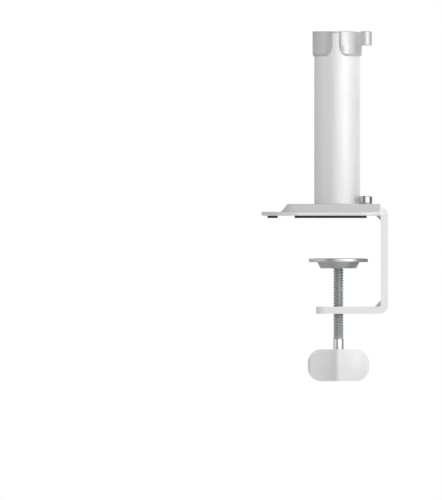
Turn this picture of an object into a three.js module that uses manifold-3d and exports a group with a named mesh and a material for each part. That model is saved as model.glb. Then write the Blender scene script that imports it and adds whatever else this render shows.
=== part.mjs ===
// Desk clamp, post and swivel hub of a monitor arm. Millimetres, +Z up.
// The origin is where the post's axis meets the desk top. +X runs from the nose of the base
// towards the clamp's column at the edge of the desk, and the clamp is symmetric about Y = 0.

import * as THREE from 'three';
import { mergeVertices } from 'three/addons/utils/BufferGeometryUtils.js';
import Module from 'manifold-3d';

const wasm = await Module();
wasm.setup();

// Whole assembly
const hubTop = 141.9; // height of the hub's top face above the desk
const deskThickness = 30.7; // the desk that the clamp is closed on at rest

// Clearances
const touch = 0.05; // left between faces that rest on each other
const slip = 0.15; // radial, round screws, bolts and plugs
const turnGap = 0.25; // radial, round pieces that turn past each other

// Post
const postDiameter = 35;
const postWall = 2.5;
const footPlugHeight = 24;
const topPlugHeight = 20;

// Swivel hub
const skirtWall = 1.05;
const skirtHeight = 18.8;
const skirtTaper = 0.5; // how far the lower edge draws in
const skirtTaperHeight = 1.6;
const hubFlange = 1.2; // thickness of the hub over the post's rim
const spigotDepth = 29.7; // how far the spigot reaches below the hub's top
const spigotFloor = 6;
const wellDiameter = 17; // room for the hub bolt's head
const slitWidth = 5.3;
const slitOffset = -0.95; // the slit's middle, along X
const slitFlareWidth = 6; // rounding of the slit's lower corners
const slitFlareHeight = 9;
const barrelDiameter = 10;
const barrelHeight = 10.8;
const barrelStandOff = 2.6; // from the skirt's outside to the barrel's axis
const hubCapThickness = 2.5;
const capEdge = 0.3; // chamfer
const linerWall = 1.5;
const linerLip = 1.5;
const linerLipHole = 18;

// Base shell
const noseReach = 57.6; // from the post's axis
const tailReach = 32.8;
const baseWidth = 80;
const noseWidth = 26;
const noseAngle = Math.PI / 3; // between the slanted sides and the long axis
const shoulderRadius = 24;
const tailRadius = 14;
const noseRadius = 6;
const rimThickness = 3;
const rimChamfer = 0.5;
const domeNoseReach = 43.05;
const domeWidth = 63;
const domeSlope = 5.5; // how far the dome's flanks draw in
const domeCornerRadius = 9.5;
const domeWall = 2.45; // above the bracket's flange

// Rubber pads under the base
const padThickness = 1.7;
const padBoss = 0.95; // how far the main pad rises inside the base, to the bracket
const mainPadNoseReach = 32.5;
const mainPadPastScrews = 0.8;
const mainPadWidth = 72;
const nosePadStart = 53.1;
const nosePadEnd = 45.2;
const nosePadWidth = 32;
const padCornerRadius = 3.5;

// Clamp bracket
const bracketThickness = 5.5;
const bracketWidth = 50;
const bracketFit = 0.2; // between the base's tail and the column, and round the flange
const flangeNoseReach = 33;
const throatHeight = 70; // from the flange down to the jaw
const jawNoseReach = 16;
const outerBend = 6;
const innerBend = 0.8;
const gussetLeg = 4.6;
const gussetWidth = 10;
const jawCornerRadius = 7.3;

// Clamp screw, its foot and its handle
const spindleOffset = 0.9; // along X
const spindleDiameter = 8;
const neckDiameter = 5.2;
const neckHeight = 2.9;
const neckCrown = 0.8; // chamfer at the neck's top
const shoulderLift = 0.5; // from the foot's inner floor up to the spindle's shoulder
const clipGroove = 0.45; // how deep the retaining clip sits in the neck
const clipThickness = 0.6;
const clipWidth = 2;
const clipMouth = 2.4;
const footDiameter = 45;
const footPlateThickness = 2.7;
const footEdge = 0.4; // chamfer
const footPadDiameter = 38;
const footPadThickness = 1.2;
const footPadProud = 0.1;
const padEdge = 0.2; // chamfer
const cupTopDiameter = 32.3;
const cupBottomDiameter = 27.5;
const cupHeight = 4.7;
const cupFloor = 1.2;
const socketDiameter = 19.6;
const socketLinerHeight = 1.6;
const socketLinerWall = 1.4;
const tiltGap = 0.6; // room for the tilt inside the foot
const washerThickness = 1;
const handleDrop = 69.1; // from the foot's top face to the handle's top
const handleWidth = 46.4;
const handleHeight = 24.2;
const handleDepth = 27;
const handleCornerRadius = 10;
const handleTipRadius = 3.2;
const handleRidgeRadius = 3.5;
const handleFlankRadius = 28;
const handleBoreDepth = 14;
const handleScrewGrip = 8; // how far the handle's screw goes into the spindle
const screwRecess = 1; // how deep the screws' heads sit in the handle and the barrel

// Screws: thread, head, and hexagon socket across its flats
const screwM3 = { thread: 3, head: 5.5, headHeight: 3, hexagon: 2.5 };
const screwM5 = { thread: 5, head: 8.5, headHeight: 5, hexagon: 4 };
const screwM6 = { thread: 6, head: 10, headHeight: 6, hexagon: 5 };
const screwM8 = { thread: 8, head: 13, headHeight: 8, hexagon: 6 };
const countersunkM8 = { thread: 8, head: 16, hexagon: 5 };
const socketShare = 0.7; // of a countersunk head's height
const bracketScrewSpacing = 24; // along Y
const bracketScrewGap = 2.2; // between the post and the screw heads
const boltEndGap = 3; // thread left over in a plug beyond its bolt
const washerM8 = { inner: 8.4, outer: 16, thickness: 1.6 };

// Heights and radii that follow from the sizes above
const rimBottom = padThickness + touch;
const rimTop = rimBottom + rimThickness;
const flangeBottom = rimBottom + padBoss;
const flangeTop = flangeBottom + bracketThickness;
const domeTop = flangeTop + touch + domeWall;
const columnInner = tailReach + bracketFit;
const columnOuter = columnInner + bracketThickness;
const jawTop = flangeBottom - throatHeight;
const jawBottom = jawTop - bracketThickness;

const postRadius = postDiameter / 2;
const postBore = postRadius - postWall;
const postBottom = domeTop + touch;
const postTop = hubTop - hubFlange - 2 * touch;
const skirtInner = postRadius + turnGap;
const skirtOuter = skirtInner + skirtWall;
const skirtBottom = hubTop - skirtHeight;
const linerOuter = postBore - slip;
const linerInner = linerOuter - linerWall;
const spigotRadius = linerInner - turnGap;
const spigotBottom = hubTop - spigotDepth;
const linerBottom = spigotBottom - touch - linerLip;
const topPlugTop = linerBottom - touch;
const wellFloor = spigotBottom + spigotFloor;
const barrelAxis = skirtOuter + barrelStandOff;
const barrelBottom = hubTop - barrelHeight;
const armScrewSeat = barrelBottom + screwM3.headHeight + screwRecess;

const footTop = -deskThickness;
const footPlateTop = footTop - footPadProud;
const footPlateBottom = footPlateTop - footPlateThickness;
const cupTop = footPlateBottom - touch;
const cupBottom = cupTop - cupHeight;
const socketFloor = cupBottom + cupFloor;
const shoulder = socketFloor + shoulderLift;
const washerTop = shoulder + touch + washerThickness;
const clipBottom = washerTop + touch;
const neckTop = shoulder + neckHeight;
const handleTop = footTop - handleDrop;
const handleBottom = handleTop - handleHeight;
const spindleBottom = handleTop - handleBoreDepth + touch;
const screwSeat = handleBottom + screwM5.headHeight + screwRecess;
const handleScrewLength = spindleBottom + handleScrewGrip - screwSeat - touch;
const tiltCentre = (socketFloor + cupTop) / 2;
const socketLinerOuter = socketDiameter / 2 - tiltGap;
const socketLinerInner = socketLinerOuter - socketLinerWall;

const roundSteps = 48; // facets of large round pieces
const smallSteps = 24; // facets of screws and other small round pieces
const arcSteps = 4; // facets of a rounded corner
const overrun = 1; // how far a cutting shape runs past the face it opens

// Shape helpers

// A closed outline from corners [x, y, radius]; a corner with no radius stays sharp.
function roundedOutline(corners) {
  const shape = new THREE.Shape();
  corners.forEach(([x, y, radius = 0], index) => {
    const corner = new THREE.Vector2(x, y);
    const before = corners.at(index - 1);
    const after = corners[(index + 1) % corners.length];
    const toBefore = new THREE.Vector2(before[0], before[1]).sub(corner).normalize();
    const toAfter = new THREE.Vector2(after[0], after[1]).sub(corner).normalize();
    const halfAngle = Math.acos(toBefore.dot(toAfter)) / 2;
    const start = corner.clone().addScaledVector(toBefore, radius / Math.tan(halfAngle));
    if (index === 0) {
      shape.moveTo(start.x, start.y);
    } else {
      shape.lineTo(start.x, start.y);
    }
    if (radius === 0) {
      return;
    }
    const inward = toBefore.clone().add(toAfter).normalize();
    const centre = corner.clone().addScaledVector(inward, radius / Math.sin(halfAngle));
    const end = corner.clone().addScaledVector(toAfter, radius / Math.tan(halfAngle));
    const startAngle = Math.atan2(start.y - centre.y, start.x - centre.x);
    const endAngle = Math.atan2(end.y - centre.y, end.x - centre.x);
    const turnsRight = toBefore.cross(toAfter) > 0;
    shape.absarc(centre.x, centre.y, radius, startAngle, endAngle, turnsRight);
  });
  return shape;
}

// A rectangle from two corners, its corners rounded.
function roundedRectangle(xLow, yLow, xHigh, yHigh, radius) {
  return roundedOutline([
    [xLow, yLow, radius],
    [xHigh, yLow, radius],
    [xHigh, yHigh, radius],
    [xLow, yHigh, radius],
  ]);
}

// A plan outline raised from one height to another, its edges chamfered if asked.
function prism(outline, zLow, zHigh, chamfer = 0) {
  const geometry = new THREE.ExtrudeGeometry(outline, {
    depth: zHigh - zLow - 2 * chamfer,
    curveSegments: arcSteps,
    bevelEnabled: chamfer > 0,
    bevelThickness: chamfer,
    bevelSize: chamfer,
    bevelOffset: -chamfer,
    bevelSegments: 1,
  });
  return geometry.translate(0, 0, zLow + chamfer);
}

// An outline drawn in the XZ plane, made a solid between two places along Y.
function sidePrism(outline, yLow, yHigh) {
  const options = { depth: yHigh - yLow, curveSegments: arcSteps, bevelEnabled: false };
  return new THREE.ExtrudeGeometry(outline, options).rotateX(Math.PI / 2).translate(0, yHigh, 0);
}

// A half section [radius, height], listed upwards along its outside, turned about the Z axis.
function turned(section, steps = roundSteps) {
  const points = section.map(([radius, height]) => new THREE.Vector2(radius, height));
  return new THREE.LatheGeometry(points, steps).rotateX(Math.PI / 2);
}

function rod(radius, zLow, zHigh, x = 0, y = 0, steps = smallSteps) {
  const geometry = new THREE.CylinderGeometry(radius, radius, zHigh - zLow, steps);
  return geometry.rotateX(Math.PI / 2).translate(x, y, (zLow + zHigh) / 2);
}

// A ring or a tube.
function ring(innerRadius, outerRadius, zLow, zHigh, steps = roundSteps) {
  return turned([
    [innerRadius, zLow],
    [outerRadius, zLow],
    [outerRadius, zHigh],
    [innerRadius, zHigh],
    [innerRadius, zLow],
  ], steps);
}

// A round plate with its edges chamfered.
function disc(radius, zLow, zHigh, chamfer, steps = roundSteps) {
  return turned([
    [0, zLow],
    [radius - chamfer, zLow],
    [radius, zLow + chamfer],
    [radius, zHigh - chamfer],
    [radius - chamfer, zHigh],
    [0, zHigh],
  ], steps);
}

function toSolid(geometry) {
  const bare = geometry.clone();
  bare.deleteAttribute('normal');
  bare.deleteAttribute('uv');
  const merged = mergeVertices(bare, 1e-5);
  return new wasm.Manifold(new wasm.Mesh({
    numProp: 3,
    vertProperties: new Float32Array(merged.attributes.position.array),
    triVerts: new Uint32Array(merged.index.array),
  }));
}

function toGeometry(solid) {
  const { vertProperties, triVerts } = solid.getMesh();
  const geometry = new THREE.BufferGeometry();
  geometry.setAttribute('position', new THREE.BufferAttribute(vertProperties, 3));
  geometry.setIndex(new THREE.BufferAttribute(triVerts, 1));
  const faceted = geometry.toNonIndexed();
  faceted.computeVertexNormals();
  return faceted;
}

function join(first, ...others) {
  return toGeometry(others.reduce((solid, other) => solid.add(toSolid(other)), toSolid(first)));
}

function cut(first, ...tools) {
  return toGeometry(tools.reduce((solid, tool) => solid.subtract(toSolid(tool)), toSolid(first)));
}

function common(first, second) {
  return toGeometry(toSolid(first).intersect(toSolid(second)));
}

// Materials

const silverPaint = { color: 0xd9dadc, roughness: 0.42, metalness: 0.35 };
const satinAluminium = { color: 0xdfe0e2, roughness: 0.34, metalness: 0.6 };
const hubFinish = { color: 0xc4c6c9, roughness: 0.3, metalness: 0.7 };
const bracketPaint = { color: 0xe6e7e8, roughness: 0.5, metalness: 0.2 };
const zincSteel = { color: 0x9aa0a4, roughness: 0.35, metalness: 0.9 };
const brightSteel = { color: 0xc9cbce, roughness: 0.2, metalness: 1 };
const chromePlate = { color: 0xe8eaec, roughness: 0.08, metalness: 1 };
const blackRubber = { color: 0x35353a, roughness: 0.85, metalness: 0 };
const darkPlastic = { color: 0x3c3d40, roughness: 0.6, metalness: 0 };
const paleNylon = { color: 0xe9e7df, roughness: 0.55, metalness: 0 };
const handleFinish = { color: 0xe2e3e4, roughness: 0.38, metalness: 0.15 };

function piece(name, geometry, finish) {
  const mesh = new THREE.Mesh(geometry, new THREE.MeshStandardMaterial(finish));
  mesh.name = name;
  return mesh;
}

// Screws

function hexagonSocket(acrossFlats, zLow, zHigh) {
  return rod(acrossFlats / Math.sqrt(3), zLow, zHigh, 0, 0, 6);
}

// A cap screw with the underside of its head at the origin and its shank down -Z.
function capScrew(size, length) {
  const { thread, head, headHeight, hexagon } = size;
  const chamfer = headHeight / 12;
  const body = turned([
    [0, -length],
    [thread / 2 - chamfer, -length],
    [thread / 2, chamfer - length],
    [thread / 2, 0],
    [head / 2, 0],
    [head / 2, headHeight - chamfer],
    [head / 2 - chamfer, headHeight],
    [0, headHeight],
  ], smallSteps);
  return cut(body, hexagonSocket(hexagon, headHeight / 2, headHeight + overrun));
}

// A countersunk screw with the face of its head at the origin and its shank down -Z.
function countersunkScrew(size, length) {
  const { thread, head, hexagon } = size;
  const coneHeight = (head - thread) / 2;
  const body = turned([
    [0, -length],
    [thread / 2, -length],
    [thread / 2, -coneHeight],
    [head / 2, 0],
    [0, 0],
  ], smallSteps);
  return cut(body, hexagonSocket(hexagon, -coneHeight * socketShare, overrun));
}

// Base

const screwCircle = postRadius + bracketScrewGap + screwM6.head / 2;
const bracketScrewX = Math.sqrt(screwCircle ** 2 - (bracketScrewSpacing / 2) ** 2);
const bracketScrewSides = [
  { name: 'bracket_screw_front', y: -bracketScrewSpacing / 2 },
  { name: 'bracket_screw_rear', y: bracketScrewSpacing / 2 },
];

const mainPadTailReach = bracketScrewX + mainPadPastScrews;

function bracketScrewHoles(radius) {
  const low = flangeBottom - overrun;
  return bracketScrewSides.map(({ y }) => rod(radius, low, domeTop + overrun, bracketScrewX, y));
}

function rimOutline() {
  const shoulder = -noseReach + (baseWidth - noseWidth) / 2 / Math.tan(noseAngle);
  return roundedOutline([
    [tailReach, -baseWidth / 2, tailRadius],
    [tailReach, baseWidth / 2, tailRadius],
    [shoulder, baseWidth / 2, shoulderRadius],
    [-noseReach, noseWidth / 2, noseRadius],
    [-noseReach, -noseWidth / 2, noseRadius],
    [shoulder, -baseWidth / 2, shoulderRadius],
  ]);
}

// The raised middle of the base: sloped on three sides, upright at the tail.
function dome() {
  const pastTail = tailReach + domeSlope + overrun;
  const half = domeWidth / 2;
  const outline = roundedRectangle(-domeNoseReach, -half, pastTail, half, domeCornerRadius);
  const slopeHeight = domeTop - rimTop;
  const block = new THREE.ExtrudeGeometry(outline, {
    depth: rimThickness / 2,
    curveSegments: arcSteps,
    bevelThickness: slopeHeight,
    bevelSize: domeSlope,
    bevelOffset: -domeSlope,
    bevelSegments: 1,
  }).translate(0, 0, rimTop - rimThickness / 2);
  return common(block, prism(rimOutline(), rimBottom + rimThickness / 2, domeTop + overrun));
}

// Room under the dome for the bracket's flange, open below and at the tail.
function flangePocket() {
  const half = bracketWidth / 2 + bracketFit;
  const nose = -flangeNoseReach - bracketFit;
  const outline = roundedRectangle(nose, -half, tailReach + 2 * jawCornerRadius, half, jawCornerRadius);
  return prism(outline, rimBottom - overrun, flangeTop + touch);
}

function baseShell() {
  const rim = prism(rimOutline(), rimBottom, rimTop, rimChamfer);
  const boltHole = rod(countersunkM8.thread / 2 + slip, flangeTop, domeTop + overrun);
  const screwHoles = bracketScrewHoles(screwM6.thread / 2 + slip);
  return cut(join(rim, dome()), flangePocket(), boltHole, ...screwHoles);
}

// The main pad has a raised middle that fills the pocket up to the bracket's flange.
function mainPad() {
  const sheet = roundedRectangle(
    -mainPadNoseReach, -mainPadWidth / 2, mainPadTailReach, mainPadWidth / 2, padCornerRadius);
  const half = bracketWidth / 2 - bracketFit;
  const bossNose = bracketFit - Math.min(mainPadNoseReach, flangeNoseReach);
  const boss = roundedRectangle(bossNose, -half, mainPadTailReach, half, jawCornerRadius);
  return join(prism(sheet, 0, padThickness), prism(boss, padThickness / 2, flangeBottom - touch));
}

function nosePad() {
  const outline = roundedRectangle(
    -nosePadStart, -nosePadWidth / 2, -nosePadEnd, nosePadWidth / 2, padCornerRadius);
  return prism(outline, 0, padThickness);
}

// Clamp bracket

function gusset(cornerZ, direction) {
  const overlap = innerBend + overrun;
  const triangle = new THREE.Shape([
    new THREE.Vector2(columnInner - gussetLeg, cornerZ),
    new THREE.Vector2(columnInner - gussetLeg, cornerZ - direction * overlap),
    new THREE.Vector2(columnInner + overlap, cornerZ - direction * overlap),
    new THREE.Vector2(columnInner + overlap, cornerZ + direction * gussetLeg),
    new THREE.Vector2(columnInner, cornerZ + direction * gussetLeg),
  ]);
  return sidePrism(triangle, -gussetWidth / 2, gussetWidth / 2);
}

function clampBracket() {
  const half = bracketWidth / 2;
  const sideView = roundedOutline([
    [-flangeNoseReach, flangeBottom],
    [columnInner, flangeBottom, innerBend],
    [columnInner, jawTop, innerBend],
    [-jawNoseReach, jawTop],
    [-jawNoseReach, jawBottom],
    [columnOuter, jawBottom, outerBend],
    [columnOuter, flangeTop, outerBend],
    [-flangeNoseReach, flangeTop],
  ]);
  const midHeight = (flangeBottom + jawTop) / 2;
  const pastColumn = columnOuter + jawCornerRadius + overrun;
  const planAt = (nose) => roundedRectangle(-nose, -half, pastColumn, half, jawCornerRadius);
  const plan = join(
    prism(planAt(jawNoseReach), jawBottom - overrun, midHeight + overrun),
    prism(planAt(flangeNoseReach), midHeight, flangeTop + overrun));
  const strip = common(sidePrism(sideView, -half - overrun, half + overrun), plan);
  const ribbed = join(strip, gusset(flangeBottom, -1), gusset(jawTop, 1));
  const holeRadius = spindleDiameter / 2 + turnGap;
  const spindleHole = rod(holeRadius, jawBottom - overrun, jawTop + overrun, spindleOffset);
  const head = countersunkM8.head / 2 + slip;
  const shank = countersunkM8.thread / 2 + slip;
  const countersink = turned([
    [0, flangeBottom - overrun],
    [head + overrun, flangeBottom - overrun],
    [shank, flangeBottom + head - shank],
    [shank, flangeTop + overrun],
    [0, flangeTop + overrun],
  ], smallSteps);
  return cut(ribbed, spindleHole, countersink, ...bracketScrewHoles(screwM6.thread / 2 + slip));
}

// Post

const threadHole = screwM8.thread / 2 + slip;
const footPlugTop = postBottom + footPlugHeight;
const topPlugBottom = topPlugTop - topPlugHeight;

function postTube() {
  return ring(postBore, postRadius, postBottom, postTop);
}

function plug(zLow, zHigh) {
  return ring(threadHole, postBore - slip, zLow, zHigh);
}

// A plastic bush in the post's mouth, with a lip that the hub's spigot stands on.
function hubLiner() {
  return turned([
    [linerLipHole / 2, linerBottom],
    [linerOuter, linerBottom],
    [linerOuter, postTop],
    [linerInner, postTop],
    [linerInner, linerBottom + linerLip],
    [linerLipHole / 2, linerBottom + linerLip],
    [linerLipHole / 2, linerBottom],
  ]);
}

// Swivel hub

// The slit in the skirt as seen from the side, with flared lower corners.
function slitOutline() {
  const left = slitOffset - slitWidth / 2;
  const right = slitOffset + slitWidth / 2;
  const flareTop = skirtBottom + slitFlareHeight;
  const below = skirtBottom - overrun;
  const above = hubTop + overrun;
  const shape = new THREE.Shape();
  shape.moveTo(left, above);
  shape.lineTo(left, flareTop);
  shape.absellipse(
    left - slitFlareWidth, flareTop, slitFlareWidth, slitFlareHeight, 0, -Math.PI / 2, true);
  shape.lineTo(left - slitFlareWidth, below);
  shape.lineTo(right + slitFlareWidth, below);
  shape.lineTo(right + slitFlareWidth, skirtBottom);
  shape.absellipse(
    right + slitFlareWidth, flareTop, slitFlareWidth, slitFlareHeight, -Math.PI / 2, -Math.PI, true);
  shape.lineTo(right, above);
  return shape;
}

function hubCollar() {
  const flangeUnder = hubTop - hubFlange;
  const body = turned([
    [threadHole, spigotBottom],
    [spigotRadius, spigotBottom],
    [spigotRadius, flangeUnder],
    [skirtInner, flangeUnder],
    [skirtInner, skirtBottom],
    [skirtOuter - skirtTaper, skirtBottom],
    [skirtOuter, skirtBottom + skirtTaperHeight],
    [skirtOuter, hubTop],
    [wellDiameter / 2, hubTop],
    [wellDiameter / 2, wellFloor],
    [threadHole, wellFloor],
    [threadHole, spigotBottom],
  ]);
  const barrel = cut(
    rod(barrelDiameter / 2, barrelBottom, hubTop, barrelAxis),
    rod(skirtInner + skirtWall / 2, barrelBottom - overrun, hubTop + overrun, 0, 0, roundSteps));
  const slit = cut(
    sidePrism(slitOutline(), -skirtOuter - overrun, -skirtOuter / 2),
    rod(postRadius + touch, skirtBottom - 2 * overrun, hubTop + 2 * overrun, 0, 0, roundSteps));
  const headHole = rod(screwM3.head / 2 + slip, barrelBottom - overrun, armScrewSeat, barrelAxis);
  const threadWay = rod(screwM3.thread / 2 + slip, barrelBottom, hubTop + overrun, barrelAxis);
  return cut(join(body, barrel), slit, headHole, threadWay);
}

// Foot and spindle

function footPlate() {
  const plate = disc(footDiameter / 2, footPlateBottom, footPlateTop, footEdge);
  const recessFloor = footTop - footPadThickness;
  const recess = rod(footPadDiameter / 2 + slip, recessFloor, footTop + overrun, 0, 0, roundSteps);
  return cut(plate, recess);
}

function footCup() {
  const socket = socketDiameter / 2;
  const mouth = spindleDiameter / 2 + tiltGap;
  return turned([
    [mouth, cupBottom],
    [cupBottomDiameter / 2, cupBottom],
    [cupTopDiameter / 2, cupTop],
    [socket, cupTop],
    [socket, socketFloor],
    [mouth, socketFloor],
    [mouth, cupBottom],
  ]);
}

function spindle() {
  const radius = spindleDiameter / 2;
  const neck = neckDiameter / 2;
  const groove = neck - clipGroove;
  const body = turned([
    [0, spindleBottom],
    [radius, spindleBottom],
    [radius, shoulder],
    [neck, shoulder],
    [neck, clipBottom - touch],
    [groove, clipBottom - touch],
    [groove, clipBottom + clipThickness + touch],
    [neck, clipBottom + clipThickness + touch],
    [neck, neckTop - neckCrown],
    [neck - neckCrown, neckTop],
    [0, neckTop],
  ], smallSteps);
  const holeEnd = spindleBottom + handleScrewGrip + overrun;
  const screwHole = rod(screwM5.thread / 2 + slip, spindleBottom - overrun, holeEnd);
  return cut(body, screwHole);
}

function retainingClip() {
  const inner = neckDiameter / 2 - clipGroove + touch;
  const washer = ring(inner, inner + clipWidth, clipBottom, clipBottom + clipThickness, smallSteps);
  const reach = inner + clipWidth + overrun;
  const depth = 2 * (clipThickness + overrun);
  const mouth = new THREE.BoxGeometry(reach, clipMouth, depth).translate(reach / 2, 0, clipBottom);
  return cut(washer, mouth);
}

// Points along an arc, both ends included.
function arcPoints(centre, radius, startAngle, endAngle, steps) {
  return Array.from({ length: steps + 1 }, (_, index) => {
    const angle = startAngle + ((endAngle - startAngle) * index) / steps;
    return new THREE.Vector2(centre.x + radius * Math.cos(angle), centre.y + radius * Math.sin(angle));
  });
}

// Plan of the handle: two round tips, a round ridge front and back, hollow flanks between them.
function handleOutline() {
  const tip = new THREE.Vector2(handleWidth / 2 - handleTipRadius, 0);
  const ridge = new THREE.Vector2(0, handleDepth / 2 - handleRidgeRadius);
  const toTip = handleFlankRadius + handleTipRadius;
  const toRidge = handleFlankRadius + handleRidgeRadius;
  const across = ridge.clone().sub(tip);
  const span = across.length();
  const along = (toTip ** 2 - toRidge ** 2 + span ** 2) / (2 * span);
  const away = Math.sqrt(toTip ** 2 - along ** 2);
  const direction = across.normalize();
  const flank = tip.clone()
    .addScaledVector(direction, along)
    .add(new THREE.Vector2(direction.y, -direction.x).multiplyScalar(away));
  const angleFrom = (from, to) => Math.atan2(to.y - from.y, to.x - from.x);
  const quarter = [
    ...arcPoints(tip, handleTipRadius, 0, angleFrom(tip, flank), arcSteps),
    ...arcPoints(flank, handleFlankRadius, angleFrom(flank, tip), angleFrom(flank, ridge), 6),
    ...arcPoints(ridge, handleRidgeRadius, angleFrom(ridge, flank), Math.PI / 2, arcSteps),
  ];
  const mirrored = (points, signX, signY) => (
    points.map(({ x, y }) => new THREE.Vector2(signX * x, signY * y)));
  const backwards = [...quarter].reverse();
  const loop = [
    ...quarter,
    ...mirrored(backwards, -1, 1),
    ...mirrored(quarter, -1, -1),
    ...mirrored(backwards, 1, -1),
  ];
  const spaced = loop.filter((point, index) => point.distanceTo(loop.at(index - 1)) > 0.01);
  return new THREE.Shape(spaced);
}

function handle() {
  const wings = prism(handleOutline(), handleBottom, handleTop);
  const half = handleWidth / 2 + touch;
  const sideView = roundedRectangle(-half, handleBottom, half, handleTop, handleCornerRadius);
  const bore = rod(spindleDiameter / 2 + slip, handleTop - handleBoreDepth, handleTop + overrun);
  const headHole = rod(screwM5.head / 2 + 2 * slip, handleBottom - overrun, screwSeat);
  const screwWay = rod(screwM5.thread / 2 + slip, handleBottom, handleTop);
  return cut(common(wings, sidePrism(sideView, -handleDepth, handleDepth)), bore, headHole, screwWay);
}

// Assembly

const base = new THREE.Group();
base.add(
  piece('base_shell', baseShell(), silverPaint),
  piece('desk_pad_main', mainPad(), blackRubber),
  piece('desk_pad_nose', nosePad(), blackRubber),
  piece('clamp_bracket', clampBracket(), bracketPaint),
);

for (const { name, y } of bracketScrewSides) {
  const length = domeTop + touch - flangeBottom;
  const screw = piece(name, capScrew(screwM6, length), chromePlate);
  screw.position.set(bracketScrewX, y, domeTop + touch);
  base.add(screw);
}

const post = new THREE.Group();
const postBoltLength = footPlugTop - flangeBottom - boltEndGap;
const postBolt = piece('post_bolt', countersunkScrew(countersunkM8, postBoltLength), zincSteel);
postBolt.position.z = flangeBottom;
postBolt.rotation.x = Math.PI;
const hubBoltSeat = wellFloor + touch + washerM8.thickness + touch;
const hubBoltLength = hubBoltSeat - topPlugBottom - boltEndGap;
const hubBolt = piece('hub_bolt', capScrew(screwM8, hubBoltLength), zincSteel);
hubBolt.position.z = hubBoltSeat;
post.add(
  piece('post_tube', postTube(), satinAluminium),
  piece('post_foot_plug', plug(postBottom, footPlugTop), zincSteel),
  postBolt,
  piece('post_top_plug', plug(topPlugBottom, topPlugTop), zincSteel),
  piece('hub_liner', hubLiner(), paleNylon),
  hubBolt,
  piece('hub_bolt_washer', ring(
    washerM8.inner / 2, washerM8.outer / 2,
    wellFloor + touch, wellFloor + touch + washerM8.thickness, smallSteps), brightSteel),
);

const hub = new THREE.Group();
const armScrewLength = hubTop - armScrewSeat - 2 * touch;
const armScrew = piece('arm_fixing_screw', capScrew(screwM3, armScrewLength), brightSteel);
armScrew.position.set(barrelAxis, 0, armScrewSeat - touch);
armScrew.rotation.x = Math.PI;
hub.add(
  piece('hub_collar', hubCollar(), hubFinish),
  piece('hub_cap', disc(wellDiameter / 2 - slip, hubTop - hubCapThickness, hubTop, capEdge), darkPlastic),
  armScrew,
);

// The clamp screw's pieces stand on one axis, so their group carries its place along X.
const clampScrew = new THREE.Group();
clampScrew.position.x = spindleOffset;
const footPadBottom = footTop - footPadThickness + touch;
const handleScrew = piece('handle_screw', capScrew(screwM5, handleScrewLength), zincSteel);
handleScrew.position.z = screwSeat - touch;
handleScrew.rotation.x = Math.PI;
clampScrew.add(
  piece('foot_plate', footPlate(), brightSteel),
  piece('foot_pad', disc(footPadDiameter / 2, footPadBottom, footTop, padEdge), blackRubber),
  piece('foot_cup', footCup(), zincSteel),
  piece('socket_liner', ring(
    socketLinerInner, socketLinerOuter,
    tiltCentre - socketLinerHeight / 2, tiltCentre + socketLinerHeight / 2), paleNylon),
  piece('thrust_washer', ring(
    neckDiameter / 2 + slip, socketLinerInner - tiltGap, shoulder + touch, washerTop), brightSteel),
  piece('retaining_clip', retainingClip(), zincSteel),
  piece('spindle', spindle(), zincSteel),
  piece('handle', handle(), handleFinish),
  handleScrew,
);

const monitorArmMount = new THREE.Group();
monitorArmMount.add(base, post, hub, clampScrew);

export default monitorArmMount;
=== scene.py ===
import bmesh
import bpy
import math
from mathutils import Matrix, Vector


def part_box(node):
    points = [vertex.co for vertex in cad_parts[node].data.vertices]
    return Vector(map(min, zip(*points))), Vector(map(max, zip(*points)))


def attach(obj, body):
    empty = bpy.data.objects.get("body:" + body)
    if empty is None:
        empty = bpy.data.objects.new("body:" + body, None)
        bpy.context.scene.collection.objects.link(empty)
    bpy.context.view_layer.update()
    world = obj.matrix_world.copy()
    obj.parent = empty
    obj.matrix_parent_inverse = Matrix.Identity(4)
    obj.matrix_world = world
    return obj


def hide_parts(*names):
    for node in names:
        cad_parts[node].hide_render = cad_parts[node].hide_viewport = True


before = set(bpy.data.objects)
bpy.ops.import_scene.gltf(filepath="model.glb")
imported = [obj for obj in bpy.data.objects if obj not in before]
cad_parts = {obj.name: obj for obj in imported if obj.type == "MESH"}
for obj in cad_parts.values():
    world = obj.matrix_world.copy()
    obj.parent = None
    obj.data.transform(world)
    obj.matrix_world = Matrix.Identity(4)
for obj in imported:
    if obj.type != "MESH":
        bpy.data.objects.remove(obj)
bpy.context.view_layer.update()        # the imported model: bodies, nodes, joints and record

millimetre = 0.001
overrun = 1              # a cutting tool runs this far past the piece, in millimetres
farOverrun = 20          # and this far where its own rounded corners must be clear of the piece
onAxis = 1e-6            # a smaller radius lies on the axis
bracketScrewNodes = ["bracket_screw_front", "bracket_screw_rear"]
scene = bpy.context.scene


# reading the frame, in millimetres

def boxOf(node):
    low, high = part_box(node)
    return low / millimetre, high / millimetre


def axisOf(node):
    low, high = boxOf(node)
    return (low.x + high.x) / 2, (low.y + high.y) / 2


# mesh making, in millimetres; makePiece turns them into metres

def makePiece(name, vertices, faces):
    mesh = bpy.data.meshes.new(name)
    mesh.from_pydata([Vector(v) * millimetre for v in vertices], [], faces)
    mesh.validate()
    piece = bpy.data.objects.new(name, mesh)
    scene.collection.objects.link(piece)
    recalculateNormals(mesh)
    return piece


def recalculateNormals(mesh):
    work = bmesh.new()
    work.from_mesh(mesh)
    bmesh.ops.remove_doubles(work, verts=work.verts, dist=1e-7)
    bmesh.ops.recalc_face_normals(work, faces=work.faces)
    work.to_mesh(mesh)
    work.free()


def applyModifiers(piece):
    graph = bpy.context.evaluated_depsgraph_get()
    result = bpy.data.meshes.new_from_object(piece.evaluated_get(graph))
    old = piece.data
    piece.modifiers.clear()
    piece.data = result
    result.name = piece.name
    bpy.data.meshes.remove(old)


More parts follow.
